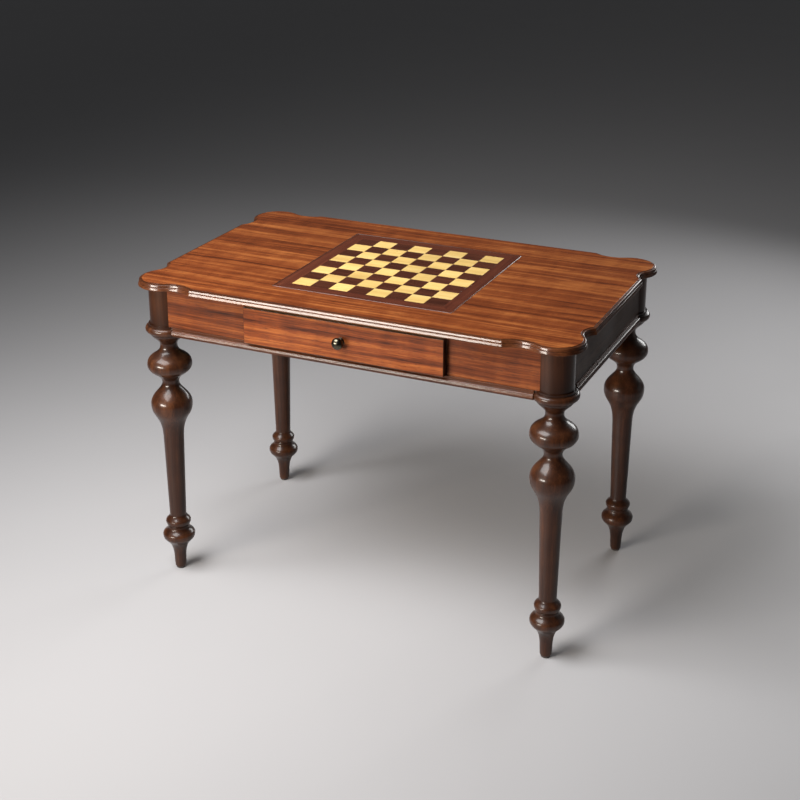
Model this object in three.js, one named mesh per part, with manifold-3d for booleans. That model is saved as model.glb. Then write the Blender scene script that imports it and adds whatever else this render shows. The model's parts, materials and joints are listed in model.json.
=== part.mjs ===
// A gaming table: four turned legs carry an apron frame with one drawer and a moulded top.
// A chessboard panel lies in a rebate in the middle of the top and lifts out.
// Millimetres. +X is to the table's right, -Y is the drawer side, +Z is up, and z = 0 is the floor.
import * as THREE from "three";
import { mergeVertices } from "three/addons/utils/BufferGeometryUtils.js";
import Module from "manifold-3d";

const wasm = await Module();
wasm.setup();

// ---------------------------------------------------------------- driving dimensions
const HEIGHT = 762;
const LEG_X = 479; // leg axes, from the middle of the table
const LEG_Y = 267;
const GAP = 0.3; // between a piece and the neighbour it is shaped to

const TOP = {
  thickness: 18,
  halfX: 535.5, // to the straight short edges
  halfY: 328, // to the straight long edges
  earRadius: 62.5, // the rounded corner, centred on the leg
  notch: 14, // how deep the cove beside each corner bites in
  longCove: 65, // the cove's radius on the long edges
  shortCove: 40, // and on the short edges
};
const BOARD = { half: 220, thickness: 12, veneer: 3, border: 32, clearance: 1, ledge: 11 };

// How many flats a turned piece is drawn with.
const LEG_SIDES = 20;
const KNOB_SIDES = 18;
const GLIDE_SIDES = 12;
const ROD_SIDES = 10; // bolts, screws and their holes
const POST = { radius: 40, flat: 34 }; // flat: from the axis to the flat on the inner corner
const GLIDE = { radius: 11, height: 4 };

const APRON = { face: 32, thickness: 20, bottom: 651 }; // face: its distance outside the leg axes
const RAIL = { bottom: 631, depth: 70, upperDepth: 60, upperThickness: 18, upperHalf: 430 };
const MOULDING = { proud: 9, fillet: 3, foot: 4, bottom: 630, beadLow: 632.5, beadHigh: 645 };
const RUNNER = { inner: 222, width: 40, guideInner: 238, guide: 18, kicker: 30 };
const STOP = { x: 110, width: 40, depth: 18, height: 6.5 };
const CLEAT = { size: 20, sideHalf: 150, backHalf: 200 };

const DRAWER = {
  halfWidth: 244,
  bottom: 652,
  top: 737,
  frontThickness: 18,
  open: 17, // it stands this far open at rest
  boxHalf: 236,
  boxTop: 720,
  length: 440,
  wall: 12,
  groove: 5, // depth of the groove that holds the bottom panel
  panel: 5,
  panelZ: 659,
  play: 0.2,
};
const KNOB = { height: 694.5, rosette: 3, rosetteRadius: 9.5, length: 23, radius: 13.5 };
const SCREW = { radius: 2.1, hole: 2.6, depth: 10, head: 4.5, headDepth: 2.5 }; // depth: in the knob

const BLOCK = { near: 37, far: 65, bottom: 672, top: 724 }; // near, far: from the leg axis, inwards
const BOLT = { radius: 4, tip: 8, end: 80, height: 698, nut: 7, nutRadius: 9 };

// ---------------------------------------------------------------- derived planes
const topUnderside = HEIGHT - TOP.thickness;
const apronY = { outer: LEG_Y + APRON.face, inner: LEG_Y + APRON.face - APRON.thickness };
const apronX = { outer: LEG_X + APRON.face, inner: LEG_X + APRON.face - APRON.thickness };
const drawerFace = -apronY.outer - DRAWER.open;
const drawerBack = drawerFace + DRAWER.frontThickness;
const railBack = -apronY.outer + RAIL.depth;
const upperRailBottom = topUnderside - RAIL.upperThickness;

// ---------------------------------------------------------------- finishes
const finish = (color, roughness, metalness) => () =>
  new THREE.MeshStandardMaterial({ color, roughness, metalness });
const cherry = finish(0x9a5431, 0.32, 0);
const darkLacquer = finish(0x4a2c1e, 0.28, 0);
const rosewood = finish(0x5c2c1f, 0.35, 0);
const maple = finish(0xe3bb68, 0.35, 0);
const secondaryWood = finish(0xc8a273, 0.6, 0);
const bronze = finish(0x4c4a3e, 0.3, 1);
const steel = finish(0x9a9ca0, 0.4, 1);
const nylon = finish(0x3b332d, 0.55, 0);

// ---------------------------------------------------------------- solids and booleans
function solidOf(geometry) {
  const plain = geometry.clone();
  plain.deleteAttribute("normal");
  plain.deleteAttribute("uv");
  const merged = mergeVertices(plain, 1e-3);
  const vertProperties = new Float32Array(merged.attributes.position.array);
  const triVerts = new Uint32Array(merged.index.array);
  return new wasm.Manifold(new wasm.Mesh({ numProp: 3, vertProperties, triVerts }));
}

function geometryOf(solid) {
  const mesh = solid.getMesh();
  const geometry = new THREE.BufferGeometry();
  geometry.setAttribute("position", new THREE.BufferAttribute(mesh.vertProperties, mesh.numProp));
  geometry.setIndex(new THREE.BufferAttribute(mesh.triVerts, 1));
  geometry.computeVertexNormals();
  return geometry;
}

function cut(geometry, ...tools) {
  const left = tools.reduce((solid, tool) => solid.subtract(solidOf(tool)), solidOf(geometry));
  return geometryOf(left);
}

function join(first, second) {
  return geometryOf(solidOf(first).add(solidOf(second)));
}

function box([x0, x1], [y0, y1], [z0, z1]) {
  const geometry = new THREE.BoxGeometry(x1 - x0, y1 - y0, z1 - z0);
  return geometry.translate((x0 + x1) / 2, (y0 + y1) / 2, (z0 + z1) / 2);
}

// A plan outline, as [x, y] points, given its height.
function prism(outline, [z0, z1]) {
  const shape = new THREE.Shape(outline.map(([x, y]) => new THREE.Vector2(x, y)));
  const geometry = new THREE.ExtrudeGeometry(shape, { depth: z1 - z0, bevelEnabled: false });
  return geometry.translate(0, 0, z0);
}

// ---------------------------------------------------------------- turned work
// A lathe profile is a path of (radius, height). Each stroke goes on from the path's last point.
const ROUND = 0.55; // the handle length that makes a Bezier quarter look like an oval's

function acrossThenUp(path, r, z) {
  const from = path.currentPoint.clone();
  const lean = from.x + (r - from.x) * ROUND;
  path.bezierCurveTo(lean, from.y, r, z - (z - from.y) * ROUND, r, z);
}

function upThenAcross(path, r, z) {
  const from = path.currentPoint.clone();
  const lean = r - (r - from.x) * ROUND;
  path.bezierCurveTo(from.x, from.y + (z - from.y) * ROUND, lean, z, r, z);
}

// Upright at both ends. stay and arrive say how long it keeps each end's radius.
function flow(path, r, z, stay = 0.5, arrive = 0.5) {
  const from = path.currentPoint.clone();
  const rise = z - from.y;
  path.bezierCurveTo(from.x, from.y + rise * stay, r, z - rise * arrive, r, z);
}

const turned = (points, sides) => new THREE.LatheGeometry(points, sides).rotateX(Math.PI / 2);
const points2 = (pairs) => pairs.map(([r, z]) => new THREE.Vector2(r, z));

function legPath() {
  const path = new THREE.Path();
  path.moveTo(0, GLIDE.height);
  path.lineTo(GLIDE.radius, GLIDE.height);
  acrossThenUp(path, 13.5, 10); // toe
  path.lineTo(14.3, 24);
  flow(path, 39.2, 94.5, 0.85, 0.3); // foot bulb
  flow(path, 26, 118, 0.45, 0.5);
  path.lineTo(25, 120.5);
  acrossThenUp(path, 30.3, 132); // ankle bead
  flow(path, 19.9, 149, 0.28, 0.38);
  path.lineTo(24.3, 350); // shaft
  flow(path, 49.3, 444.5, 0.7, 0.38); // vase
  flow(path, 20, 499, 0.45, 0.32); // lower neck
  flow(path, 52.9, 545, 0.5, 0.48); // ball
  flow(path, 20, 595, 0.57, 0.55); // upper neck
  flow(path, 42, 627, 0.4, 0.35); // cup
  path.lineTo(44, 628);
  acrossThenUp(path, 52, 637); // collar bead
  upThenAcross(path, 44, 646);
  path.lineTo(44, APRON.bottom); // fillet under the post
  path.lineTo(POST.radius, APRON.bottom);
  path.lineTo(POST.radius, topUnderside);
  path.lineTo(0, topUnderside);
  return path;
}

const legPoints = legPath().getPoints(4);
const CORNERS = [
  { name: "front_left", x: -LEG_X, y: -LEG_Y },
  { name: "front_right", x: LEG_X, y: -LEG_Y },
  { name: "back_left", x: -LEG_X, y: LEG_Y },
  { name: "back_right", x: LEG_X, y: LEG_Y },
];

// Geometry drawn at a leg's axis with +X pointing inwards along the diagonal, put at a corner.
function atCorner(geometry, corner) {
  const inward = Math.atan2(-Math.sign(corner.y), -Math.sign(corner.x));
  return geometry.rotateZ(inward).translate(corner.x, corner.y, 0);
}

function diagonalRod(radius, from, to, sides) {
  const rod = new THREE.CylinderGeometry(radius, radius, to - from, sides);
  return rod.rotateZ(Math.PI / 2).translate((from + to) / 2, 0, BOLT.height);
}

function leg(corner) {
  const beyond = POST.radius + 5;
  const flat = box([POST.flat, beyond], [-beyond, beyond], [APRON.bottom, topUnderside + 1]);
  const bore = diagonalRod(BOLT.radius + GAP, BOLT.tip - GAP, beyond, ROD_SIDES);
  return atCorner(cut(turned(legPoints, LEG_SIDES), flat, bore), corner);
}

// The room that aprons, rails and mouldings leave for a leg: the same turning, a little fatter.
function legRoom(corner) {
  const fatter = legPoints.map(({ x, y }) => new THREE.Vector2(x === 0 ? 0 : x + GAP, y));
  fatter.at(-1).y += 1;
  fatter.at(-2).y += 1;
  return atCorner(turned(fatter, LEG_SIDES), corner);
}
const fittedToLegs = (geometry) => cut(geometry, ...CORNERS.map(legRoom));

function glide(corner) {
  const { radius, height } = GLIDE;
  const profile = [[0, 0], [radius - 1.5, 0], [radius, 1.5], [radius, height], [0, height]];
  return atCorner(turned(points2(profile), GLIDE_SIDES), corner);
}

// ---------------------------------------------------------------- the top
function arc(cx, cy, radius, from, to, steps) {
  return Array.from({ length: steps + 1 }, (_, i) => {
    const angle = from + ((to - from) * i) / steps;
    return [cx + radius * Math.cos(angle), cy + radius * Math.sin(angle)];
  });
}

// The plan outline drawn in by `inset`: straight edges, coves, and an ear round each leg's axis.
// Every arc keeps its centre, so the outlines at different insets have matching points.
function topOutline(inset) {
  const { halfX, halfY, earRadius, notch, longCove, shortCove } = TOP;
  // Each cove's circle lies outside the wood and touches the ear's circle.
  const longY = halfY - notch + longCove;
  const longX = LEG_X - Math.sqrt((longCove + earRadius) ** 2 - (longY - LEG_Y) ** 2);
  const shortX = halfX - notch + shortCove;
  const shortY = LEG_Y - Math.sqrt((shortCove + earRadius) ** 2 - (shortX - LEG_X) ** 2);
  const toShort = Math.atan2(shortY - LEG_Y, shortX - LEG_X);
  const toLong = Math.atan2(longY - LEG_Y, longX - LEG_X);
  const shortLip = Math.acos((shortX - halfX + inset) / (shortCove + inset));
  const longLip = Math.acos((longY - halfY + inset) / (longCove + inset));
  const quarter = [
    ...arc(shortX, shortY, shortCove + inset, Math.PI + shortLip, toShort + Math.PI, 5),
    ...arc(LEG_X, LEG_Y, earRadius - inset, toShort, toLong, 9).slice(1),
    ...arc(longX, longY, longCove + inset, toLong - Math.PI, -Math.PI / 2 - longLip, 6).slice(1),
  ];
  const flipped = (sx, sy) => quarter.map(([x, y]) => [sx * x, sy * y]);
  return [
    ...quarter,
    ...flipped(-1, 1).reverse(),
    ...flipped(-1, -1),
    ...flipped(1, -1).reverse(),
  ];
}

// The edge in section, as (inset, height) from the underside up: two beads whose faces lean back,
// a quirk between them and a fillet round the veneer.
function edgePath() {
  const path = new THREE.Path();
  path.moveTo(6, topUnderside);
  path.lineTo(3, topUnderside + 1.2);
  acrossThenUp(path, 0, 747.2); // lower bead
  path.lineTo(1.4, 752.8);
  upThenAcross(path, 3.6, 754); // quirk
  acrossThenUp(path, 1.9, 755.2); // upper bead
  path.lineTo(2.9, 759.2);
  upThenAcross(path, 7.5, 761);
  path.lineTo(9, 761);
  path.lineTo(9, HEIGHT);
  return path;
}

function tableTop() {
  const edge = edgePath().getPoints(2);
  const rings = edge.map(({ x, y }) => topOutline(x).map(([px, py]) => [px, py, y]));
  const count = rings[0].length;
  const faces = [];
  for (let ring = 0; ring + 1 < rings.length; ring++) {
    for (let i = 0; i < count; i++) {
      const next = (i + 1) % count;
      const [a, b] = [ring * count + i, ring * count + next];
      faces.push([a, b, b + count], [a, b + count, a + count]);
    }
  }
  const flat = topOutline(edge[0].x).map(([x, y]) => new THREE.Vector2(x, y));
  const cap = THREE.ShapeUtils.triangulateShape(flat, []);
  const last = (rings.length - 1) * count;
  cap.forEach(([a, b, c]) => faces.push([a, c, b], [last + a, last + b, last + c]));
  const geometry = new THREE.BufferGeometry();
  geometry.setAttribute("position", new THREE.Float32BufferAttribute(rings.flat(2), 3));
  geometry.setIndex(faces.flat());

  const rebate = BOARD.half + BOARD.clearance;
  const through = BOARD.half - BOARD.ledge;
  const ledgeTop = HEIGHT - BOARD.thickness;
  return cut(
    geometry,
    box([-rebate, rebate], [-rebate, rebate], [ledgeTop, HEIGHT + 1]),
    box([-through, through], [-through, through], [topUnderside - 1, ledgeTop + 1]),
  );
}

// ---------------------------------------------------------------- the frame
// Pieces of the frame are drawn for the back, with +Y pointing outwards, then turned to their side.
const SIDES = { back: 0, left: Math.PI / 2, front: Math.PI, right: -Math.PI / 2 };
const onSide = (geometry, side) => geometry.rotateZ(SIDES[side]);
const ENDS_IN_POST = 10; // a long piece is drawn to this far from the leg's axis, then fitted to it

function apron(side) {
  const long = side === "back";
  const half = (long ? LEG_X : LEG_Y) - ENDS_IN_POST;
  const { inner, outer } = long ? apronY : apronX;
  return fittedToLegs(onSide(box([-half, half], [inner, outer], [RAIL.bottom, topUnderside]), side));
}

function frontApron(hand) {
  const from = DRAWER.halfWidth + 1;
  const to = LEG_X - ENDS_IN_POST;
  const span = hand < 0 ? [-to, -from] : [from, to];
  return fittedToLegs(box(span, [-apronY.outer, -apronY.inner], [APRON.bottom, topUnderside]));
}

function lowerRail() {
  const half = LEG_X - ENDS_IN_POST;
  return fittedToLegs(box([-half, half], [-apronY.outer, railBack], [RAIL.bottom, APRON.bottom]));
}

// Behind the front aprons, with a thin strip that comes forward between them, over the drawer.
function upperRail() {
  const { upperHalf, upperDepth } = RAIL;
  const back = -apronY.inner + upperDepth;
  const stripHalf = DRAWER.halfWidth + 1 - GAP;
  return join(
    box([-upperHalf, upperHalf], [-apronY.inner, back], [upperRailBottom, topUnderside]),
    box([-stripHalf, stripHalf], [-apronY.outer, back], [DRAWER.top + 1, topUnderside]),
  );
}

// The bead moulding under the apron, in section: (distance outside the apron's face, height).
function mouldingShape() {
  const { proud, fillet, foot, bottom, beadLow, beadHigh } = MOULDING;
  const shape = new THREE.Shape();
  shape.moveTo(0, bottom);
  shape.lineTo(foot, bottom);
  shape.lineTo(foot, beadLow);
  acrossThenUp(shape, proud, (beadLow + beadHigh) / 2);
  upThenAcross(shape, fillet, beadHigh);
  shape.lineTo(fillet, APRON.bottom);
  shape.lineTo(0, APRON.bottom);
  shape.closePath();
  return shape;
}

function moulding(side) {
  const long = side === "front" || side === "back";
  const half = (long ? LEG_X : LEG_Y) - ENDS_IN_POST;
  const face = long ? apronY.outer : apronX.outer;
  const strip = new THREE.ExtrudeGeometry(mouldingShape(), {
    depth: 2 * half,
    bevelEnabled: false,
    curveSegments: 3,
  });
  const [x, y, z] = [[1, 0, 0], [0, 1, 0], [0, 0, 1]].map((v) => new THREE.Vector3(...v));
  strip.translate(0, 0, -half).applyMatrix4(new THREE.Matrix4().makeBasis(y, z, x));
  return fittedToLegs(onSide(strip.translate(0, face, 0), side));
}

const mirrored = ([a, b], hand) => (hand < 0 ? [-b, -a] : [a, b]);

function runner(hand) {
  const { inner, width } = RUNNER;
  const x = mirrored([inner, inner + width], hand);
  return box(x, [railBack, apronY.inner], [RAIL.bottom, APRON.bottom]);
}

function guide(hand) {
  const { guideInner, guide: size } = RUNNER;
  const x = mirrored([guideInner, guideInner + size], hand);
  return box(x, [-apronY.inner, apronY.inner], [APRON.bottom, APRON.bottom + size]);
}

function kicker(hand) {
  const { inner, kicker: width } = RUNNER;
  const y = [-apronY.inner + RAIL.upperDepth, apronY.inner];
  return box(mirrored([inner, inner + width], hand), y, [upperRailBottom, topUnderside]);
}

function drawerStop(hand) {
  const closedBack = -apronY.outer + DRAWER.frontThickness;
  const x = mirrored([STOP.x, STOP.x + STOP.width], hand);
  const y = [closedBack + 1, closedBack + 1 + STOP.depth];
  return box(x, y, [APRON.bottom, APRON.bottom + STOP.height]);
}

function cleat(side) {
  const half = side === "back" ? CLEAT.backHalf : CLEAT.sideHalf;
  const { inner } = side === "back" ? apronY : apronX;
  const z = [topUnderside - CLEAT.size, topUnderside];
  return onSide(box([-half, half], [inner - CLEAT.size, inner], z), side);
}

// ---------------------------------------------------------------- corner joints
function cornerBlock(corner) {
  const reach = (u) => u + (APRON.face - APRON.thickness - GAP) * Math.SQRT2;
  const { near, far, bottom, top } = BLOCK;
  const outline = [[near, -reach(near)], [far, -reach(far)], [far, reach(far)], [near, reach(near)]];
  const hole = diagonalRod(BOLT.radius + 1, near - 1, far + 1, ROD_SIDES);
  return atCorner(cut(prism(outline, [bottom, top]), hole), corner);
}

const hangerBolt = (corner) =>
  atCorner(diagonalRod(BOLT.radius, BOLT.tip, BOLT.end, ROD_SIDES), corner);

function boltNut(corner) {
  const from = BLOCK.far + GAP;
  const hexagon = diagonalRod(BOLT.nutRadius, from, from + BOLT.nut, 6);
  const bore = diagonalRod(BOLT.radius + GAP, from - 1, from + BOLT.nut + 1, ROD_SIDES);
  return atCorner(cut(hexagon, bore), corner);
}

// ---------------------------------------------------------------- the drawer
const innerHalf = DRAWER.boxHalf - DRAWER.wall;
const grooveHalf = innerHalf + DRAWER.groove;
const drawerEnd = drawerBack + DRAWER.length;
const grooveZ = [DRAWER.panelZ, DRAWER.panelZ + DRAWER.panel + 2 * DRAWER.play];

function bottomGroove() {
  return box([-grooveHalf, grooveHalf], [drawerBack - DRAWER.groove, drawerEnd + 1], grooveZ);
}

// A turned piece that lies along Y: its profile's heights run forwards from the plane y = face.
const turnedForward = (profile, sides, face) =>
  new THREE.LatheGeometry(profile, sides).rotateX(Math.PI).translate(0, face, KNOB.height);

function drawerFront() {
  const { halfWidth, bottom, top, frontThickness } = DRAWER;
  const { hole } = SCREW;
  const bore = points2([[0, -1], [hole, -1], [hole, frontThickness + 1], [0, frontThickness + 1]]);
  return cut(
    box([-halfWidth, halfWidth], [drawerFace, drawerBack], [bottom, top]),
    bottomGroove(),
    turnedForward(bore, ROD_SIDES, drawerBack),
  );
}

function drawerSide(hand) {
  const { boxHalf, bottom, boxTop } = DRAWER;
  const side = box(mirrored([innerHalf, boxHalf], hand), [drawerBack, drawerEnd], [bottom, boxTop]);
  return cut(side, bottomGroove());
}

const drawerRear = () =>
  box([-innerHalf, innerHalf], [drawerEnd - DRAWER.wall, drawerEnd], [grooveZ[1], DRAWER.boxTop]);

function drawerPanel() {
  const { play, panelZ, panel, groove } = DRAWER;
  const half = grooveHalf - play;
  const z = panelZ + play;
  return box([-half, half], [drawerBack - groove + play, drawerEnd], [z, z + panel]);
}

function knobRosette() {
  const { rosette, rosetteRadius: rim } = KNOB;
  const { hole } = SCREW;
  const top = rim - 2; // radius of the raised middle
  const profile = [[hole, 0], [rim, 0], [rim, 1.2], [top, rosette], [hole, rosette], [hole, 0]];
  return turnedForward(points2(profile), KNOB_SIDES, drawerFace);
}

function knob() {
  const { radius, length, rosette } = KNOB;
  const path = new THREE.Path();
  path.moveTo(0, 0);
  path.lineTo(7.5, 0);
  flow(path, 6, 4);
  acrossThenUp(path, radius, 12.5);
  upThenAcross(path, 0, length);
  const bored = SCREW.radius + GAP;
  const bore = points2([[0, -1], [bored, -1], [bored, SCREW.depth], [0, SCREW.depth]]);
  const face = drawerFace - rosette;
  const body = turnedForward(path.getPoints(4), KNOB_SIDES, face);
  return cut(body, turnedForward(bore, ROD_SIDES, face));
}

function knobScrew() {
  const { radius, depth, head, headDepth } = SCREW;
  const end = DRAWER.frontThickness + KNOB.rosette + depth - GAP;
  const crown = [head - 1, -headDepth]; // the head tapers towards the drawer's inside
  const profile = [[0, -headDepth], crown, [head, 0], [radius, 0], [radius, end], [0, end]];
  return turnedForward(points2(profile), ROD_SIDES, drawerBack);
}

// ---------------------------------------------------------------- the lift-out board
const veneerZ = [HEIGHT - BOARD.veneer, HEIGHT];
const fieldHalf = BOARD.half - BOARD.border;

function boardPanel() {
  const { half, thickness } = BOARD;
  return box([-half, half], [-half, half], [HEIGHT - thickness, veneerZ[0]]);
}

// Four borders, mitred at the corners round the playing field.
function boardBorder(side) {
  const { half } = BOARD;
  const outline = [[-fieldHalf, fieldHalf], [fieldHalf, fieldHalf], [half, half], [-half, half]];
  return onSide(prism(outline, veneerZ), side);
}

const playingField = () => box([-fieldHalf, fieldHalf], [-fieldHalf, fieldHalf], veneerZ);

// ---------------------------------------------------------------- assembly
const table = new THREE.Group();
const frame = new THREE.Group();
const drawer = new THREE.Group();
const board = new THREE.Group();
table.add(frame, drawer, board);

function add(group, name, geometry, material) {
  const mesh = new THREE.Mesh(geometry, material());
  mesh.name = name;
  group.add(mesh);
}

add(frame, "table_top", tableTop(), cherry);
for (const corner of CORNERS) {
  add(frame, `leg_${corner.name}`, leg(corner), darkLacquer);
  add(frame, `foot_glide_${corner.name}`, glide(corner), nylon);
  add(frame, `corner_block_${corner.name}`, cornerBlock(corner), secondaryWood);
  add(frame, `hanger_bolt_${corner.name}`, hangerBolt(corner), steel);
  add(frame, `bolt_nut_${corner.name}`, boltNut(corner), steel);
}
for (const side of ["back", "left", "right"]) {
  add(frame, `apron_${side}`, apron(side), side === "back" ? cherry : darkLacquer);
  add(frame, `top_cleat_${side}`, cleat(side), secondaryWood);
}
for (const side of Object.keys(SIDES)) {
  add(frame, `moulding_${side}`, moulding(side), darkLacquer);
  add(board, `board_border_${side}`, boardBorder(side), rosewood);
}
add(frame, "rail_lower_front", lowerRail(), cherry);
add(frame, "rail_upper_front", upperRail(), secondaryWood);
for (const [word, hand] of [["left", -1], ["right", 1]]) {
  add(frame, `apron_front_${word}`, frontApron(hand), cherry);
  add(frame, `drawer_runner_${word}`, runner(hand), secondaryWood);
  add(frame, `drawer_guide_${word}`, guide(hand), secondaryWood);
  add(frame, `drawer_kicker_${word}`, kicker(hand), secondaryWood);
  add(frame, `drawer_stop_${word}`, drawerStop(hand), secondaryWood);
  add(drawer, `drawer_side_${word}`, drawerSide(hand), secondaryWood);
}
add(drawer, "drawer_front", drawerFront(), cherry);
add(drawer, "drawer_rear", drawerRear(), secondaryWood);
add(drawer, "drawer_bottom", drawerPanel(), secondaryWood);
add(drawer, "knob_rosette", knobRosette(), bronze);
add(drawer, "drawer_knob", knob(), bronze);
add(drawer, "knob_screw", knobScrew(), steel);
add(board, "board_panel", boardPanel(), secondaryWood);
add(board, "playing_field", playingField(), maple);

export default table;
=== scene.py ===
"""A gaming table: finished pieces over its CAD frame. Metres, +Z up, -Y is the drawer side."""

import json
import math
import random

import bmesh
import bpy
from mathutils import Matrix, Vector


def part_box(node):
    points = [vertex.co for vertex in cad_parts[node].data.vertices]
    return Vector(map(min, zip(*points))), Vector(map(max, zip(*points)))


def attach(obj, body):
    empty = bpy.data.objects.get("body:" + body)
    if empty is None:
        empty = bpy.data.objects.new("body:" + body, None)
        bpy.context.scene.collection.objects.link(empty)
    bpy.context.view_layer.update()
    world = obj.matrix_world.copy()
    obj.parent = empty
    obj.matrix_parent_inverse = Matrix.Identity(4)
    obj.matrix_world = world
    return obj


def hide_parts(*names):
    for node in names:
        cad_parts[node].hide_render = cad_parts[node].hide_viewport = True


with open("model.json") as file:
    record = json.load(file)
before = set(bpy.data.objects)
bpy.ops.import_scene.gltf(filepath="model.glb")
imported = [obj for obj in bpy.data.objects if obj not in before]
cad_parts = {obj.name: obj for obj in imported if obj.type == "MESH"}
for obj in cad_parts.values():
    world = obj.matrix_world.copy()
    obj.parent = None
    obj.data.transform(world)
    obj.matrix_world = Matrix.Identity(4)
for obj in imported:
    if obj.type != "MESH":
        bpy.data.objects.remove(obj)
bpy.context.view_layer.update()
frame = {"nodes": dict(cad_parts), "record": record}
nodes = frame["nodes"]
bpy.context.scene.view_settings.view_transform = "Standard"

# ---------------------------------------------------------------- measures taken from the frame
TOP_LOW, TOP_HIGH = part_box("table_top")
LEG_AXIS = (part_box("leg_front_right")[0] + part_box("leg_front_right")[1]) / 2
LEG_AXIS.z = 0
GLIDE_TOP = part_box("foot_glide_front_left")[1].z
TOP_UNDERSIDE = TOP_LOW.z
APRON_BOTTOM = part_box("apron_front_left")[0].z
APRON_FACE_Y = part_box("apron_back")[1].y
APRON_FACE_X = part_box("apron_right")[1].x
BOARD_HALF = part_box("board_panel")[1].x
FIELD_LOW, FIELD_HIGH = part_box("playing_field")
DRAWER_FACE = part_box("drawer_front")[0].y
KNOB_LOW, KNOB_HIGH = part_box("drawer_knob")

# Each corner's signs of X and Y, and how far each side is turned from the back one.
CORNERS = {"front_left": (-1, -1), "front_right": (1, -1), "back_left": (-1, 1), "back_right": (1, 1)}
SIDES = {"back": 0.0, "left": math.pi / 2, "front": math.pi, "right": -math.pi / 2}
LONG_SIDES = ("front", "back")
CREASE = math.radians(32)  # edges sharper than this are creased and eased


# ---------------------------------------------------------------- sections drawn stroke by stroke
class Path:
    """Points of a section. Each stroke goes on from the last point; a curve is cut into `steps`."""

    ROUND = 0.55  # how far the handles of a quarter turn reach

    def __init__(self, x, y, steps=10):
        self.points = [(x, y)]
        self.steps = steps

    def line(self, x, y):
        self.points.append((x, y))

    def curve(self, near, far, end):
        start = self.points[-1]
        for i in range(1, self.steps + 1):
            t = i / self.steps
            weights = ((1 - t) ** 3, 3 * t * (1 - t) ** 2, 3 * t * t * (1 - t), t ** 3)
            corners = (start, near, far, end)
            self.points.append(tuple(sum(w * c[k] for w, c in zip(weights, corners)) for k in (0, 1)))

    def across_then_up(self, x, y):
        x0, y0 = self.points[-1]
        self.curve((x0 + (x - x0) * self.ROUND, y0), (x, y - (y - y0) * self.ROUND), (x, y))

    def up_then_across(self, x, y):
        x0, y0 = self.points[-1]
        self.curve((x0, y0 + (y - y0) * self.ROUND), (x - (x - x0) * self.ROUND, y), (x, y))

    def flow(self, x, y, stay=0.5, arrive=0.5):
        """Upright at both ends; stay and arrive say how long it keeps each end's width."""
        x0, y0 = self.points[-1]
        self.curve((x0, y0 + (y - y0) * stay), (x, y - (y - y0) * arrive), (x, y))


def arc(cx, cy, radius, start, end, steps):
    """Points of an arc from one angle to another."""
    angles = [start + (end - start) * i / steps for i in range(steps + 1)]
    return [(cx + radius * math.cos(a), cy + radius * math.sin(a)) for a in angles]


# ---------------------------------------------------------------- mesh building
def link_mesh(mesh, *materials, creased=True):
    """Puts a finished mesh in the scene as an object of the same name."""
    for material in materials:
        mesh.materials.append(material)
    if creased:
        mesh.shade_smooth()
        mesh.set_sharp_from_angle(angle=CREASE)
    piece = bpy.data.objects.new(mesh.name, mesh)
    bpy.context.scene.collection.objects.link(piece)
    return piece


def piece_from(name, verts, faces, material):
    mesh = bpy.data.meshes.new(name)
    mesh.from_pydata(verts, [], faces)
    return link_mesh(mesh, material)


def piece_from_bmesh(name, build, *materials, creased=True):
    mesh = bpy.data.meshes.new(name)
    build.to_mesh(mesh)
    build.free()
    return link_mesh(mesh, *materials, creased=creased)


def stand_in(piece, cad_node):
    """The piece takes the place of a CAD node, on that node's body."""
    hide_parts(cad_node)
    bodies = frame["record"]["behaviour"]["bodies"]
    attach(piece, next(body for body, members in bodies.items() if cad_node in members))


def soften(piece, width=0.0006, segments=2):
    """Eased edges, as sanding leaves them."""
    weld = piece.modifiers.new("weld", "WELD")
    weld.merge_threshold = 1e-5
    bevel = piece.modifiers.new("eased edges", "BEVEL")
    bevel.width = width
    bevel.segments = segments
    bevel.limit_method = "ANGLE"
    bevel.angle_limit = CREASE
    bevel.harden_normals = True


def lathe(name, profile, sides, material):
    """Turns a profile of (radius, height) points round Z. Points on the axis become single vertices."""
    verts, rings = [], []
    for radius, height in profile:
        if radius < 1e-6:
            rings.append([len(verts)] * sides)
            verts.append((0, 0, height))
            continue
        rings.append(range(len(verts), len(verts) + sides))
        angles = (2 * math.pi * i / sides for i in range(sides))
        verts += [(radius * math.cos(a), radius * math.sin(a), height) for a in angles]
    faces = []
    for low, high in zip(rings, rings[1:]):
        for i in range(sides):
            j = (i + 1) % sides
            corners = dict.fromkeys((low[i], low[j], high[j], high[i]))
            if len(corners) > 2:
                faces.append(tuple(corners))
    return piece_from(name, verts, faces, material)


def paint_hollow_shade_and_bead_light(piece, profile, reach=0.012):
    """Stores on each ring how deep it lies in a groove (0 to 1), for painted shade there, and how far it
    stands out (0 to 1), for the high beads' lighter tone: partly wear, partly a painted highlight.
    """
    def blurred(height):
        near = [(r, abs(z - height)) for r, z in profile if abs(z - height) < reach]
        weights = [(r, 1 - d / reach + 1e-3) for r, d in near]
        return sum(r * w for r, w in weights) / sum(w for _, w in weights)

    relief = {round(z, 6): r - blurred(z) for r, z in profile if r > 1e-6}
    hollow_shade = piece.data.attributes.new("hollow_shade", "FLOAT", "POINT")
    proud_wear_and_highlight = piece.data.attributes.new("proud_wear_and_highlight", "FLOAT", "POINT")
    for i, vertex in enumerate(piece.data.vertices):
        value = relief.get(round(vertex.co.z, 6), 0) / (reach / 3)
        hollow_shade.data[i].value = min(1, max(0, -value))
        proud_wear_and_highlight.data[i].value = min(1, max(0, value))


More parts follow.
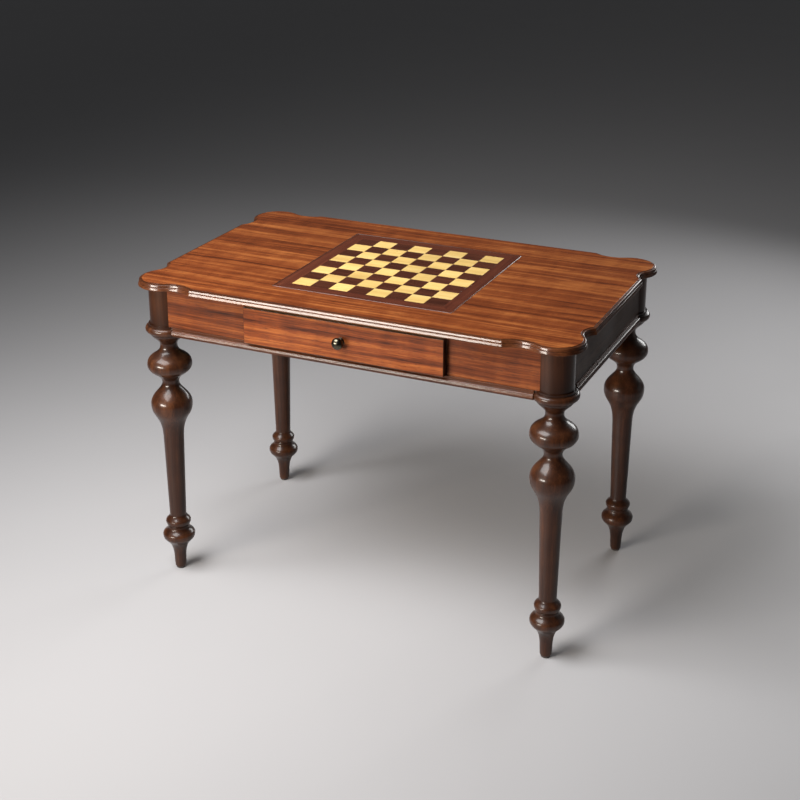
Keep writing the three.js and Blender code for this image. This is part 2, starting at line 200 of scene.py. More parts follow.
# ---------------------------------------------------------------- material building
def node(tree, kind, inputs=None, **settings):
    """Adds a node. An input given as a socket is linked, and any other is set."""
    made = tree.nodes.new(kind)
    for key, value in settings.items():
        setattr(made, key, value)
    for key, value in (inputs or {}).items():
        if isinstance(value, bpy.types.NodeSocket):
            tree.links.new(value, made.inputs[key])
        else:
            made.inputs[key].default_value = value
    return made


def new_material(name, **constants):
    """A material, its node tree and its shader. Constants are set on the shader's own sockets."""
    material = bpy.data.materials.new(name)
    material.use_nodes = True
    shader = material.node_tree.nodes["Principled BSDF"]
    for key, value in constants.items():
        socket = key.replace("_", " ").title().replace("Ior", "IOR")
        shader.inputs[socket].default_value = value
    return material, material.node_tree, shader


def math_node(tree, operation, *values, clamp=False):
    made = node(tree, "ShaderNodeMath", dict(enumerate(values)), operation=operation, use_clamp=clamp)
    return made.outputs[0]


def noise(tree, vector, stretch, detail=3.0, roughness=0.5):
    """Noise whose cells measure 1/stretch metres along each axis."""
    scaled = node(tree, "ShaderNodeVectorMath", {0: vector, 1: stretch}, operation="MULTIPLY")
    inputs = {"Vector": scaled.outputs[0], "Scale": 1.0, "Detail": detail, "Roughness": roughness}
    return node(tree, "ShaderNodeTexNoise", inputs)


def ramp(tree, factor, stops):
    """Colour from a factor; stops are (position, RGB)."""
    made = node(tree, "ShaderNodeValToRGB", {"Fac": factor})
    elements = made.color_ramp.elements
    while len(elements) < len(stops):
        elements.new(0.5)
    for element, (position, colour) in zip(elements, stops):
        element.position = position
        element.color = (*colour, 1)
    return made.outputs["Color"]


def mix(tree, factor, first, second, blend="MIX"):
    """Colour mix; first and second are sockets or RGB triples."""
    made = node(tree, "ShaderNodeMix", data_type="RGBA", blend_type=blend)
    factor_in, first_in, second_in = made.inputs[0], made.inputs[6], made.inputs[7]
    for socket, value in ((factor_in, factor), (first_in, first), (second_in, second)):
        if isinstance(value, bpy.types.NodeSocket):
            tree.links.new(value, socket)
        else:
            socket.default_value = (*value, 1) if isinstance(value, tuple) else value
    return made.outputs[2]


def map_range(tree, value, from_min=0.0, from_max=1.0, to_min=0.0, to_max=1.0):
    inputs = {"Value": value, "From Min": from_min, "From Max": from_max}
    inputs |= {"To Min": to_min, "To Max": to_max}
    return node(tree, "ShaderNodeMapRange", inputs).outputs[0]


def object_place(tree):
    return node(tree, "ShaderNodeTexCoord").outputs["Object"]


def attribute(tree, name):
    return node(tree, "ShaderNodeAttribute", attribute_name=name).outputs["Fac"]


def bump(tree, height, distance, strength=1.0):
    inputs = {"Height": height, "Distance": distance, "Strength": strength}
    return node(tree, "ShaderNodeBump", inputs).outputs["Normal"]


# Turns object coordinates so that the grain runs along X.
GRAIN = {"X": (0, 0, 0), "Y": (0, 0, -math.pi / 2), "Z": (0, math.pi / 2, 0)}

# The colours run from dark to light. Bands and streaks are per metre across the grain, and pores says
# how dark the pores are. Gloss and coat say how much the wood and its lacquer shine, haze, 0.1 if it
# isn't given, how blurred the lacquer's shine is, and relief how deep the grain feels.
TIMBERS = {
    "cherry": dict(
        colours=((0.064, 0.0125, 0.0035), (0.225, 0.053, 0.0130), (0.50, 0.165, 0.042)),
        bands=48, streaks=360, pores=0.6, roughness=0.19, gloss=0.25, coat=0.05, relief=0.2,
    ),
    "cherry_drawer": dict(
        colours=((0.045, 0.009, 0.003), (0.185, 0.042, 0.010), (0.36, 0.108, 0.025)),
        bands=85, streaks=420, pores=0.6, roughness=0.36, gloss=0.2, coat=0.06, relief=0.35,
    ),
    "cherry_apron": dict(
        colours=((0.028, 0.006, 0.002), (0.135, 0.031, 0.008), (0.27, 0.078, 0.020)),
        bands=85, streaks=420, pores=0.6, roughness=0.36, gloss=0.2, coat=0.06, relief=0.35,
    ),
    "dark_lacquer": dict(
        colours=((0.015, 0.0046, 0.0018), (0.038, 0.0120, 0.0046), (0.083, 0.028, 0.010)),
        bands=55, streaks=420, pores=0.4, roughness=0.34, gloss=0.2, coat=0.33, relief=0.1,
    ),
    # painted light: a lighter, warmer copy of the dark lacquer for the top's edge and the bead
    # mouldings, as light as the lit front beads look
    "painted_light_beading": dict(
        colours=((0.026, 0.0070, 0.0024), (0.072, 0.0210, 0.0070), (0.145, 0.047, 0.016)),
        bands=55, streaks=420, pores=0.4, roughness=0.4, gloss=0.12, coat=0.34, haze=0.15, relief=0.1,
    ),
    # painted shade: the side aprons get a dark wood, as dark as they look in shade
    "painted_shade_apron": dict(
        colours=((0.016, 0.0064, 0.0028), (0.036, 0.0145, 0.0062), (0.066, 0.027, 0.011)),
        bands=60, streaks=420, pores=0.4, roughness=0.5, gloss=0.15, coat=0.0, relief=0.3,
    ),
    "rosewood": dict(
        colours=((0.058, 0.0130, 0.0066), (0.116, 0.0295, 0.0140), (0.175, 0.049, 0.0230)),
        bands=60, streaks=500, pores=0.4, roughness=0.22, gloss=0.2, coat=0.2, relief=0.2,
    ),
    "rosewood_dark": dict(
        colours=((0.040, 0.010, 0.005), (0.078, 0.021, 0.010), (0.12, 0.036, 0.017)),
        bands=60, streaks=500, pores=0.4, roughness=0.22, gloss=0.25, coat=0.05, relief=0.2,
    ),
    "maple": dict(
        colours=((0.66, 0.41, 0.13), (0.86, 0.58, 0.19), (0.93, 0.68, 0.28)),
        bands=30, streaks=420, pores=0.12, roughness=0.22, gloss=0.25, coat=0.05, relief=0.15,
    ),
    "inner_wood": dict(
        colours=((0.36, 0.20, 0.085), (0.54, 0.34, 0.165), (0.66, 0.45, 0.24)),
        bands=45, streaks=300, pores=0.3, roughness=0.62, gloss=0.4, coat=0.0, relief=0.7,
    ),
}


def wood(timber, grain, shift=0.0, hollow_shade_and_bead_light=False, per_piece=False):
    """Wood under lacquer: wavy ribbons, fine streaks, pores, and bump from both."""
    look = TIMBERS[timber]
    name = f"{timber}_{grain}" + (f"_{round(shift * 100)}" if shift else "")
    name += ("_turned" if hollow_shade_and_bead_light else "") + ("_squares" if per_piece else "")
    material, tree, shader = new_material(
        name,
        coat_weight=look["coat"],
        coat_roughness=look.get("haze", 0.1),
        specular_ior_level=look["gloss"],
    )
    place = object_place(tree)
    inputs = {"Vector": place, "Rotation": GRAIN[grain], "Location": (shift,) * 3}
    along = node(tree, "ShaderNodeMapping", inputs).outputs[0]
    if per_piece:  # each square is cut from another part of the sheet
        tone = attribute(tree, "tone")
        jump = math_node(tree, "MULTIPLY", tone, 3.0)
        along = node(tree, "ShaderNodeVectorMath", {0: along, 1: jump}, operation="ADD").outputs[0]
    drift = noise(tree, along, (2.2, 7, 7), detail=2.0).outputs["Color"]
    inputs = {0: drift, 1: (0.0, 0.022, 0.022), 2: along}
    bent = node(tree, "ShaderNodeVectorMath", inputs, operation="MULTIPLY_ADD").outputs[0]

    bands = noise(tree, bent, (1.3, look["bands"], look["bands"]), detail=4.0).outputs["Fac"]
    streaks = noise(tree, bent, (7, look["streaks"], look["streaks"]), detail=4.0).outputs["Fac"]
    ripple = noise(tree, bent, (26, 11, 11), detail=2.0).outputs["Fac"]
    grit = noise(tree, bent, (55, 1500, 1500), detail=1.0).outputs["Fac"]
    pores = map_range(tree, grit, 0.58, 0.7)

    figure = math_node(tree, "MULTIPLY", bands, 0.52)
    figure = math_node(tree, "MULTIPLY_ADD", streaks, 0.34, figure)
    figure = math_node(tree, "MULTIPLY_ADD", ripple, 0.14, figure)
    dark, middle, light = look["colours"]
    colour = ramp(tree, figure, [(0.34, dark), (0.5, middle), (0.66, light)])
    pore_share = math_node(tree, "MULTIPLY", pores, look["pores"])
    colour = mix(tree, pore_share, colour, tuple(c * 0.35 for c in dark))
    if per_piece:
        shade = map_range(tree, tone, to_min=0.88, to_max=1.08)
        colour = mix(tree, 1.0, colour, shade, "MULTIPLY")
    if hollow_shade_and_bead_light:  # painted shade darkens the grooves; the high beads are lighter, partly wear and partly a painted highlight
        painted_hollow_shade = math_node(tree, "MULTIPLY", attribute(tree, "hollow_shade"), 0.75)
        colour = mix(tree, painted_hollow_shade, colour, dark)
        # lighter high beads: partly wear, partly a painted highlight
        wear_and_highlight = math_node(tree, "MULTIPLY", attribute(tree, "proud_wear_and_highlight"), bands, clamp=True)
        colour = mix(tree, math_node(tree, "MULTIPLY", wear_and_highlight, 0.7), colour, light)
    tree.links.new(colour, shader.inputs["Base Color"])

    smudges = noise(tree, along, (9, 9, 9), detail=4.0, roughness=0.6).outputs["Fac"]
    rough = map_range(tree, smudges, 0.35, 0.65, look["roughness"] - 0.04, look["roughness"] + 0.06)
    rough = math_node(tree, "MULTIPLY_ADD", pores, 0.08, rough)
    tree.links.new(rough, shader.inputs["Roughness"])

    height = math_node(tree, "MULTIPLY_ADD", pores, -0.7, streaks)
    tree.links.new(bump(tree, height, 0.00025, look["relief"]), shader.inputs["Normal"])
    if look["coat"]:
        peel = noise(tree, place, (140, 140, 140), detail=2.0).outputs["Fac"]
        tree.links.new(bump(tree, peel, 0.0004, 0.12), shader.inputs["Coat Normal"])
    return material


def plywood():
    """Sanded plywood, with its plies showing on the edges."""
    material, tree, shader = new_material("plywood", roughness=0.6)
    place = object_place(tree)
    bands = noise(tree, place, (2, 26, 26), detail=5.0).outputs["Fac"]
    face = ramp(tree, bands, [(0.35, (0.42, 0.25, 0.11)), (0.65, (0.68, 0.47, 0.25))])
    split = node(tree, "ShaderNodeSeparateXYZ", {"Vector": place}).outputs["Z"]
    layer = math_node(tree, "PINGPONG", split, 0.0012)
    layer = math_node(tree, "GREATER_THAN", layer, 0.0006)
    plies = mix(tree, layer, (0.30, 0.17, 0.075), (0.58, 0.38, 0.19))
    normal = node(tree, "ShaderNodeNewGeometry").outputs["Normal"]
    upright = node(tree, "ShaderNodeSeparateXYZ", {"Vector": normal}).outputs["Z"]
    flat = math_node(tree, "GREATER_THAN", math_node(tree, "ABSOLUTE", upright), 0.5)
    tree.links.new(mix(tree, flat, plies, face), shader.inputs["Base Color"])
    fuzz = noise(tree, place, (90, 900, 900), detail=3.0).outputs["Fac"]
    tree.links.new(bump(tree, fuzz, 0.0003, 0.4), shader.inputs["Normal"])
    return material


def metal(name, deep, bright, roughness, speckle=900):
    """Metal whose patina is thinner in places."""
    material, tree, shader = new_material(name, metallic=1.0)
    place = object_place(tree)
    patches = noise(tree, place, (120, 120, 120), detail=6.0, roughness=0.65).outputs["Fac"]
    tree.links.new(ramp(tree, patches, [(0.4, deep), (0.68, bright)]), shader.inputs["Base Color"])
    rough = map_range(tree, patches, 0.3, 0.7, roughness + 0.08, roughness - 0.06)
    tree.links.new(rough, shader.inputs["Roughness"])
    grain = noise(tree, place, (speckle,) * 3, detail=2.0).outputs["Fac"]
    tree.links.new(bump(tree, grain, 0.0001, 0.3), shader.inputs["Normal"])
    return material


def nylon():
    """Dark moulded nylon, scuffed a little."""
    material, tree, shader = new_material("nylon", roughness=0.5)
    place = object_place(tree)
    scuffs = noise(tree, place, (300, 300, 60), detail=4.0).outputs["Fac"]
    colour = ramp(tree, scuffs, [(0.35, (0.032, 0.025, 0.020)), (0.6, (0.060, 0.048, 0.040))])
    tree.links.new(colour, shader.inputs["Base Color"])
    tree.links.new(bump(tree, scuffs, 0.0002, 0.4), shader.inputs["Normal"])
    return material


def floor_material():
    """A plain pale floor whose sheen varies a little."""
    material, tree, shader = new_material("floor", roughness=0.55, base_color=(0.47, 0.463, 0.472, 1))
    place = object_place(tree)
    cloud = noise(tree, place, (3, 3, 3), detail=4.0).outputs["Fac"]
    tree.links.new(map_range(tree, cloud, to_min=0.5, to_max=0.62), shader.inputs["Roughness"])
    return material


bronze = metal("bronze", (0.035, 0.035, 0.028), (0.16, 0.14, 0.095), 0.24)
steel = metal("steel", (0.36, 0.36, 0.35), (0.56, 0.56, 0.55), 0.38)
dark_nylon = nylon()
ply = plywood()
cherry = wood("cherry", "X")
lacquer = {axis: wood("dark_lacquer", axis) for axis in "XYZ"}
# the legs' lacquer, with painted shade in the grooves and a painted highlight on the beads
lacquer_turned = wood("dark_lacquer", "Z", hollow_shade_and_bead_light=True)
# the top's edge and the mouldings carry painted light
painted_light_beading = {axis: wood("painted_light_beading", axis) for axis in "XY"}
rosewood = {axis: wood("rosewood", axis) for axis in "XY"}
inner = {axis: wood("inner_wood", axis) for axis in "XYZ"}


# ---------------------------------------------------------------- legs
POST_RADIUS = 0.040
POST_FLAT = 0.034  # from the leg's axis to the flat on the inner corner
FILLET_RADIUS = 0.044
GLIDE_RADIUS = 0.011


def leg_profile():
    """Half of the leg's outline as (radius, height), from the glide up to the table's top."""
    path = Path(0, GLIDE_TOP, steps=14)
    path.line(GLIDE_RADIUS, GLIDE_TOP)
    path.across_then_up(0.0135, 0.010)  # toe
    path.line(0.0143, 0.024)
    path.flow(0.0392, 0.0945, 0.85, 0.3)  # foot bulb
    path.flow(0.026, 0.118, 0.45, 0.5)
    path.line(0.025, 0.1205)
    path.across_then_up(0.0303, 0.132)  # ankle bead
    path.flow(0.0199, 0.149, 0.28, 0.38)
    path.line(0.0243, 0.350)  # shaft
    path.flow(0.0493, 0.4445, 0.7, 0.38)  # vase
    path.flow(0.020, 0.499, 0.45, 0.32)  # lower neck
    path.flow(0.0529, 0.545, 0.5, 0.48)  # ball
    path.flow(0.020, 0.595, 0.57, 0.55)  # upper neck
    path.flow(0.042, 0.627, 0.4, 0.35)  # cup
    path.line(FILLET_RADIUS, 0.628)
    path.across_then_up(0.052, 0.637)  # collar bead
    path.up_then_across(FILLET_RADIUS, 0.646)
    path.line(FILLET_RADIUS, APRON_BOTTOM)
    path.line(POST_RADIUS, APRON_BOTTOM)
    path.line(POST_RADIUS, TOP_UNDERSIDE)
    path.line(0, TOP_UNDERSIDE)
    return path.points


def corner_place(sx, sy):
    """Puts +X of a piece drawn at a leg's axis towards the middle of the table."""
    turn = Matrix.Rotation(math.atan2(-sy, -sx), 4, "Z")
    return Matrix.Translation((sx * LEG_AXIS.x, -sy * LEG_AXIS.y, 0)) @ turn


def make_leg(corner, sx, sy):
    """One turning from foot to post. The post has a flat that faces the middle of the table."""
    profile = leg_profile()
    leg = lathe(f"turned_leg_{corner}", profile, 72, lacquer_turned)
    # paints shade into the grooves and light onto the high beads
    paint_hollow_shade_and_bead_light(leg, profile)
    for vertex in leg.data.vertices:
        if vertex.co.z > APRON_BOTTOM - 1e-6:
            vertex.co.x = min(vertex.co.x, POST_FLAT)
    leg.data.transform(corner_place(sx, sy))
    soften(leg, 0.0005)
    stand_in(leg, f"leg_{corner}")


# ---------------------------------------------------------------- the top
EAR_RADIUS = 0.0625
STRAIGHT_X = 0.5355  # from the middle to the straight part of a short edge
STRAIGHT_Y = 0.328  # from the middle to the straight part of a long edge
NOTCH = 0.014  # how far a cove cuts in from the straight part
LONG_COVE = 0.065  # radii of the coves on the long and the short edges
SHORT_COVE = 0.040
REBATE = 0.221  # half the square that the board lies in
LEDGE = 0.209  # half the opening inside the ledge


def top_outline(inset):
    """The plan outline drawn in by inset: ears round the leg axes, coves that touch them, straights."""
    ax, ay = LEG_AXIS.x, -LEG_AXIS.y
    long_y = STRAIGHT_Y - NOTCH + LONG_COVE
    long_x = ax - math.sqrt((LONG_COVE + EAR_RADIUS) ** 2 - (long_y - ay) ** 2)
    short_x = STRAIGHT_X - NOTCH + SHORT_COVE
    short_y = ay - math.sqrt((SHORT_COVE + EAR_RADIUS) ** 2 - (short_x - ax) ** 2)
    to_short = math.atan2(short_y - ay, short_x - ax)
    to_long = math.atan2(long_y - ay, long_x - ax)
    short_lip = math.acos((short_x - STRAIGHT_X + inset) / (SHORT_COVE + inset))
    long_lip = math.acos((long_y - STRAIGHT_Y + inset) / (LONG_COVE + inset))
    long_start, long_end = to_long - math.pi, -math.pi / 2 - long_lip
    quarter = arc(short_x, short_y, SHORT_COVE + inset, math.pi + short_lip, to_short + math.pi, 14)
    quarter += arc(ax, ay, EAR_RADIUS - inset, to_short, to_long, 28)[1:]
    quarter += arc(long_x, long_y, LONG_COVE + inset, long_start, long_end, 16)[1:]
    outline = list(quarter)
    outline += [(-x, y) for x, y in reversed(quarter)]
    outline += [(-x, -y) for x, y in quarter]
    outline += [(x, -y) for x, y in reversed(quarter)]
    return outline


def edge_section():
    """The moulded edge as (inset, height), from the underside up: two beads whose faces lean back."""
    top = TOP_HIGH.z
    path = Path(0.006, TOP_UNDERSIDE, steps=7)
    path.line(0.003, TOP_UNDERSIDE + 0.0012)
    path.across_then_up(0, top - 0.0148)
    path.curve((0.0004, top - 0.0129), (0.0008, top - 0.0111), (0.0014, top - 0.0092))
    path.up_then_across(0.0036, top - 0.0080)
    path.across_then_up(0.0019, top - 0.0068)
    path.curve((0.0022, top - 0.0055), (0.00255, top - 0.0041), (0.0029, top - 0.0028))
    path.up_then_across(0.0075, top - 0.001)
    path.line(0.009, top - 0.001)
    path.line(0.009, top - 0.0002)
    path.line(0.0093, top)
    return path.points


def square_ring(half, height):
    """The corners of a square round the middle of the table."""
    return [(x * half, y * half, height) for x, y in ((1, -1), (1, 1), (-1, 1), (-1, -1))]


def make_top():
    """The top: its moulded edge, its rebate for the board, and the flats between them."""
    build = bmesh.new()
    veneer, edge_wood, underside = 0, 1, 2

    def ring(points):
        """Vertices of a closed outline."""
        return [build.verts.new(point) for point in points]

    def wall(low, high, material):
        """Faces between two rings of the same count."""
        for i in range(len(low)):
            j = (i + 1) % len(low)
            build.faces.new((low[i], low[j], high[j], high[i])).material_index = material

    def flat(outer, inner, material):
        """Faces between an outer and an inner ring at the same height."""
        edges = []
        for loop in (outer, inner):
            for i in range(len(loop)):
                pair = (loop[i], loop[(i + 1) % len(loop)])
                edges.append(build.edges.get(pair) or build.edges.new(pair))
        filled = bmesh.ops.triangle_fill(build, edges=edges, use_beauty=True)
        for face in (f for f in filled["geom"] if isinstance(f, bmesh.types.BMFace)):
            face.material_index = material

    rings = [ring([(x, y, z) for x, y in top_outline(inset)]) for inset, z in edge_section()]
    for low, high in zip(rings, rings[1:]):
        wall(low, high, edge_wood)
    top = TOP_HIGH.z
    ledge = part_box("board_panel")[0].z
    eased = 0.0006
    hole = [(REBATE + eased, top), (REBATE, top - eased), (REBATE, ledge)]
    hole += [(LEDGE, ledge), (LEDGE, TOP_UNDERSIDE)]
    hole_rings = [ring(square_ring(half, height)) for half, height in hole]
    for high, low in zip(hole_rings, hole_rings[1:]):
        wall(high, low, edge_wood)
    flat(rings[-1], hole_rings[0], veneer)
    flat(rings[0], hole_rings[-1], underside)
    bmesh.ops.recalc_face_normals(build, faces=build.faces)
    moulded = piece_from_bmesh("moulded_top", build, cherry, painted_light_beading["X"], inner["X"])
    stand_in(moulded, "table_top")


# ---------------------------------------------------------------- mouldings under the aprons
MOULDING_END = 0.036  # from the leg's axis, so that the moulding runs into the leg


def moulding_section():
    """The bead moulding as (distance outside the apron's face, height)."""
    low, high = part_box("moulding_front")[0].z, APRON_BOTTOM
    path = Path(-0.001, low, steps=8)
    path.line(0.004, low)
    path.line(0.004, low + 0.0025)
    path.across_then_up(0.009, low + 0.0065)
    path.curve((0.0089, low + 0.0075), (0.0086, low + 0.0085), (0.0081, low + 0.0095))
    path.up_then_across(0.003, low + 0.015)
    path.line(0.003, high)
    path.line(-0.001, high)
    return path.points


def strip_along(side, name, section, material, half_length=None):
    """Runs a section of (distance from the middle, height) along a side. The default ends are mitred."""
    count = len(section)
    verts = [(end * (half_length or y), y, z) for end in (-1, 1) for y, z in section]
    faces = [(i, (i + 1) % count, (i + 1) % count + count, i + count) for i in range(count)]
    faces += [tuple(reversed(range(count))), tuple(range(count, 2 * count))]
    strip = piece_from(name, verts, faces, material)
    strip.data.flip_normals()
    strip.data.transform(Matrix.Rotation(SIDES[side], 4, "Z"))
    return strip


def make_moulding(side):
    """The bead moulding under one apron, between two legs."""
    if side in LONG_SIDES:
        half, face, grain = LEG_AXIS.x, APRON_FACE_Y, "X"
    else:
        half, face, grain = -LEG_AXIS.y, APRON_FACE_X, "Y"
    name = f"bead_moulding_{side}"
    section = [(face + out, height) for out, height in moulding_section()]
    moulding = strip_along(side, name, section, painted_light_beading[grain], half - MOULDING_END)
    soften(moulding, 0.0004)
    stand_in(moulding, f"moulding_{side}")


# ---------------------------------------------------------------- the board
def make_squares(name, wanted, material):
    """Thin squares of veneer with eased edges: light ones and dark ones are two pieces."""
    size = (FIELD_HIGH.x - FIELD_LOW.x) / 8
    gap = 0.0001  # left round each square
    chance = random.Random(8 if wanted else 64)
    build = bmesh.new()
    tone = build.faces.layers.float.new("tone")
    for column in range(8):
        for row in range(8):
            if (column + row) % 2 != wanted:
                continue
            low = FIELD_LOW + Vector((column * size + gap, row * size + gap, 0))
            high = Vector((low.x + size - 2 * gap, low.y + size - 2 * gap, FIELD_HIGH.z))
            cube = bmesh.ops.create_cube(build, size=1)["verts"]
            for vertex in cube:
                vertex.co = Vector(low[k] if vertex.co[k] < 0 else high[k] for k in range(3))
            value = chance.random()
            for face in {face for vertex in cube for face in vertex.link_faces}:
                face[tone] = value
    squares = piece_from_bmesh(name, build, material, creased=False)
    soften(squares, 0.00025)
    stand_in(squares, "playing_field")


def make_border(side):
    """A mitred strip of veneer whose outer edge is bevelled, so that it catches the light."""
    low, high = FIELD_LOW.z, FIELD_HIGH.z
    bevel = 0.001
    section = [(BOARD_HALF, low), (BOARD_HALF, high - bevel), (BOARD_HALF - bevel, high)]
    section += [(FIELD_HIGH.x, high), (FIELD_HIGH.x, low)]
    grain = "X" if side in LONG_SIDES else "Y"
    border = strip_along(side, f"mitred_border_{side}", section, rosewood[grain])
    stand_in(border, f"board_border_{side}")


def make_board():
    """The board's borders and its two sorts of squares."""
    for side in SIDES:
        make_border(side)
    light = wood("maple", "X", per_piece=True)
    dark = wood("rosewood_dark", "X", shift=3.1, per_piece=True)
    make_squares("squares_light", 0, light)
    make_squares("squares_dark", 1, dark)


# ---------------------------------------------------------------- the drawer's front
def make_leaf(name, low, high, material, eased):
    """A flat board between two corners, with eased edges."""
    corners = [(x, y, z) for x in (low.x, high.x) for y in (low.y, high.y) for z in (low.z, high.z)]
    faces = [(0, 1, 3, 2), (4, 6, 7, 5), (0, 4, 5, 1), (2, 3, 7, 6), (0, 2, 6, 4), (1, 5, 7, 3)]
    leaf = piece_from(name, corners, faces, material)
    soften(leaf, eased)
    return leaf


def make_drawer_front():
    """A lacquered board with a leaf of veneer on its face."""
    low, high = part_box("drawer_front")
    thickness = 0.0009
    lip = 0.0011  # how far the veneer stops short of the board's eased edges
    core_low = low + Vector((0, thickness / 2, 0))
    core = make_leaf("drawer_front_core", core_low, high, lacquer["X"], 0.0008)
    stand_in(core, "drawer_front")

    veneer_low = low + Vector((lip, 0, lip))
    veneer_high = Vector((high.x - lip, low.y + thickness, high.z - lip))
    face_veneer = wood("cherry_drawer", "X", shift=1.7)
    veneer = make_leaf("drawer_front_veneer", veneer_low, veneer_high, face_veneer, 0.0002)
    stand_in(veneer, "drawer_front")


# ---------------------------------------------------------------- the knob and small turned pieces
def facing_forward(y, height):
    """Lays a piece turned round Z along -Y, with its foot on the plane at y."""
    return Matrix.Translation((0, y, height)) @ Matrix.Rotation(math.pi / 2, 4, "X")


def make_knob():
    """The turned knob, and the stepped rosette behind it."""
    height = (KNOB_LOW.z + KNOB_HIGH.z) / 2
    plate = KNOB_HIGH.y  # the rosette's front
    length = KNOB_HIGH.y - KNOB_LOW.y
    radius = (KNOB_HIGH.z - KNOB_LOW.z) / 2

    path = Path(0, 0, steps=12)
    path.line(0.0078, 0)
    path.flow(0.0058, 0.004)  # waist
    path.across_then_up(radius, length * 0.54)
    path.up_then_across(0, length)
    knob = lathe("round_knob", path.points, 64, bronze)
    knob.data.transform(facing_forward(plate, height))
    stand_in(knob, "drawer_knob")

    rosette_low, rosette_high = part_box("knob_rosette")
    rim = (rosette_high.z - rosette_low.z) / 2
    thickness = rosette_high.y - rosette_low.y
    path = Path(0, 0, steps=8)
    path.line(rim, 0)
    path.line(rim, 0.0006)
    path.up_then_across(rim - 0.0012, 0.0016)
    path.line(rim - 0.0018, 0.0013)
    path.across_then_up(rim - 0.0030, thickness)
    path.line(0, thickness)
    rosette = lathe("round_rosette", path.points, 64, bronze)
    rosette.data.transform(facing_forward(DRAWER_FACE, height))
    stand_in(rosette, "knob_rosette")


# ---------------------------------------------------------------- hardware
# Distances along a bolt run from the leg's axis towards the middle of the table.
BOLT_HEIGHT = 0.698
BOLT_TIP = 0.008
BOLT_END = 0.080
BOLT_RADIUS = 0.004
NUT_FACE = 0.0653  # where the nut bears on its corner block
NUT_THICKNESS = 0.007
NUT_RADIUS = 0.009
THREAD_PITCH = 0.00125
THREAD_DEPTH = 0.0006
SCREW_RADIUS = 0.0021
SCREW_DIMPLE = 0.0008  # both the radius and the depth of the dimple in its head


def make_bolt_and_nut(corner, sx, sy):
    """A hanger bolt with its machine thread showing, and the chamfered nut on it."""
    level = Matrix.Translation((0, 0, BOLT_HEIGHT)) @ Matrix.Rotation(math.pi / 2, 4, "Y")
    inwards = corner_place(sx, sy) @ level
    root = BOLT_RADIUS - THREAD_DEPTH
    path = Path(0, BOLT_TIP)
    path.line(0.001, BOLT_TIP)
    path.line(root, BOLT_TIP + 0.006)
    path.line(root, NUT_FACE - 0.003)
    for turn in range(int((BOLT_END - NUT_FACE) / THREAD_PITCH)):
        height = NUT_FACE - 0.002 + turn * THREAD_PITCH
        path.line(BOLT_RADIUS, height + THREAD_PITCH * 0.4)
        path.line(root, height + THREAD_PITCH)
    path.line(root, BOLT_END)
    path.line(0, BOLT_END)
    bolt = lathe(f"threaded_bolt_{corner}", path.points, 24, steel)
    bolt.data.transform(inwards)
    stand_in(bolt, f"hanger_bolt_{corner}")

    bore, flat = BOLT_RADIUS + 0.0003, NUT_RADIUS - 0.0009
    path = Path(bore, NUT_FACE)
    path.line(flat, NUT_FACE)
    path.line(NUT_RADIUS, NUT_FACE + 0.0007)
    path.line(NUT_RADIUS, NUT_FACE + NUT_THICKNESS - 0.0007)
    path.line(flat, NUT_FACE + NUT_THICKNESS)
    path.line(bore, NUT_FACE + NUT_THICKNESS)
    path.line(bore, NUT_FACE)
    nut = lathe(f"hex_nut_{corner}", path.points, 6, steel)
    nut.data.transform(inwards)
    soften(nut, 0.0003)
    stand_in(nut, f"bolt_nut_{corner}")


def make_knob_screw():
    """It comes through the drawer's front from inside, into the knob."""
    low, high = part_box("knob_screw")
    head = (high.z - low.z) / 2
    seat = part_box("drawer_front")[1].y
    path = Path(0, 0, steps=6)
    length = high.y - low.y
    path.line(SCREW_RADIUS, 0)
    path.line(SCREW_RADIUS, seat - low.y)
    path.line(head, seat - low.y)
    path.up_then_across(SCREW_DIMPLE, length)
    path.line(SCREW_DIMPLE, length - SCREW_DIMPLE)
    path.line(0, length - SCREW_DIMPLE)
    screw = lathe("round_head_screw", path.points, 32, steel)
    turn = Matrix.Rotation(-math.pi / 2, 4, "X")
    screw.data.transform(Matrix.Translation((0, low.y, (low.z + high.z) / 2)) @ turn)
    stand_in(screw, "knob_screw")


def make_glide(corner, sx, sy):
    """The round glide under a foot."""
    path = Path(0, 0, steps=6)
    path.line(0.0095, 0)
    path.across_then_up(GLIDE_RADIUS, 0.0015)
    path.line(GLIDE_RADIUS, GLIDE_TOP)
    path.line(0, GLIDE_TOP)
    glide = lathe(f"round_glide_{corner}", path.points, 40, dark_nylon)
    glide.data.transform(corner_place(sx, sy))
    stand_in(glide, f"foot_glide_{corner}")


# ---------------------------------------------------------------- CAD nodes that keep their shape
def finish_nodes():
    """Their edges are eased, and each gets its wood with the grain along its length."""
    apron_veneer = wood("cherry_apron", "X")
    painted_shade_apron = wood("painted_shade_apron", "Y")
    looks = {
        "apron_front_left": apron_veneer,
        "apron_front_right": apron_veneer,
        "apron_back": apron_veneer,
        "rail_lower_front": lacquer["X"],
        "rail_upper_front": inner["X"],
        # painted shade: the side aprons' wood is as dark as they look in shade
        "apron_left": painted_shade_apron,
        "apron_right": painted_shade_apron,
        "top_cleat_back": inner["X"],
        "top_cleat_left": inner["Y"],
        "top_cleat_right": inner["Y"],
        "drawer_rear": inner["X"],
        "drawer_bottom": ply,
        "board_panel": ply,
    }
    for hand in ("left", "right"):
        for kind in ("runner", "guide", "kicker", "side"):
            looks[f"drawer_{kind}_{hand}"] = inner["Y"]
        looks[f"drawer_stop_{hand}"] = inner["X"]
    for corner in CORNERS:
        looks[f"corner_block_{corner}"] = inner["Z"]
    for name, material in looks.items():
        mesh = nodes[name].data
        mesh.materials.clear()
        mesh.materials.append(material)
        soften(nodes[name], 0.0007)


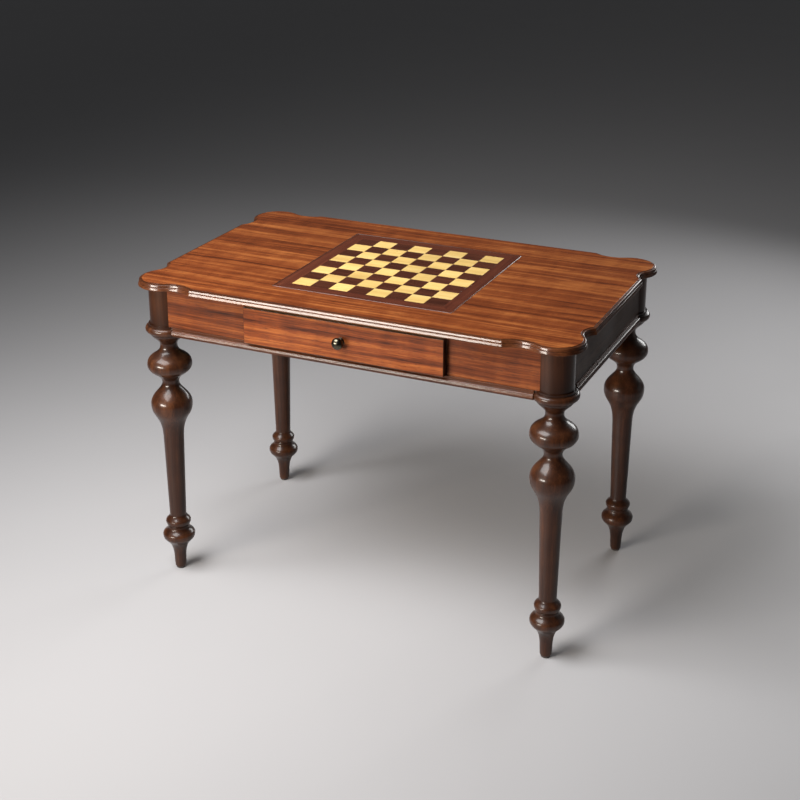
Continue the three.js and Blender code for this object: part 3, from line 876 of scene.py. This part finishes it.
for corner, signs in CORNERS.items():
    make_leg(corner, *signs)
    make_glide(corner, *signs)
    make_bolt_and_nut(corner, *signs)
for side in SIDES:
    make_moulding(side)
make_top()
make_board()
make_drawer_front()
make_knob()
make_knob_screw()
finish_nodes()


# ---------------------------------------------------------------- floor, light and camera
def make_floor():
    """A plain floor, wide enough for every view."""
    bpy.ops.mesh.primitive_plane_add(size=80)
    floor = bpy.context.object
    floor.name = "floor"
    floor.data.materials.append(floor_material())


def softbox(name, place, aim, width, height, power, spread=120, colour=(1, 1, 1)):
    """A rectangular lamp of so many watts; spread is the angle of its beam in degrees."""
    light = bpy.data.lights.new(name, "AREA")
    light.color = colour
    light.shape = "RECTANGLE"
    light.size, light.size_y = width, height
    light.energy = power
    light.spread = math.radians(spread)
    lamp = bpy.data.objects.new(name, light)
    lamp.location = place
    lamp.rotation_euler = (Vector(aim) - Vector(place)).to_track_quat("-Z", "Y").to_euler()
    bpy.context.scene.collection.objects.link(lamp)


def make_lights():
    middle = (0, 0, 0.6)
    softbox("key", (-1.25, -2.85, 1.0), middle, 1.5, 0.34, 20.5, spread=80, colour=(1, 0.93, 0.84))
    softbox("overhead", (-0.85, -1.2, 2.45), (-0.15, -0.25, 0.7), 2.0, 1.3, 46)
    softbox("rim", (2.5, 1.2, 0.7), middle, 1.4, 1.0, 0.5)
    softbox("back", (0.95, 3.4, 1.5), middle, 1.8, 0.8, 18)
    world = bpy.data.worlds.new("studio")
    world.use_nodes = True
    sky = world.node_tree.nodes["Background"]
    sky.inputs["Color"].default_value = (0.80, 0.81, 0.83, 1)
    sky.inputs["Strength"].default_value = 0.06
    bpy.context.scene.world = world


def make_camera():
    """A long lens a little above eye height, out beyond the table's front right corner."""
    camera = bpy.data.cameras.new("camera")
    camera.sensor_width = 36
    camera.lens = 67.05
    camera.shift_y = -0.125
    camera.clip_end = 100
    eye = bpy.data.objects.new("camera", camera)
    eye.location = (1.379, -3.017, 1.872)
    eye.rotation_euler = (math.radians(70.36), 0, math.radians(24.59))
    bpy.context.scene.collection.objects.link(eye)
    bpy.context.scene.camera = eye


make_floor()
make_lights()
make_camera()
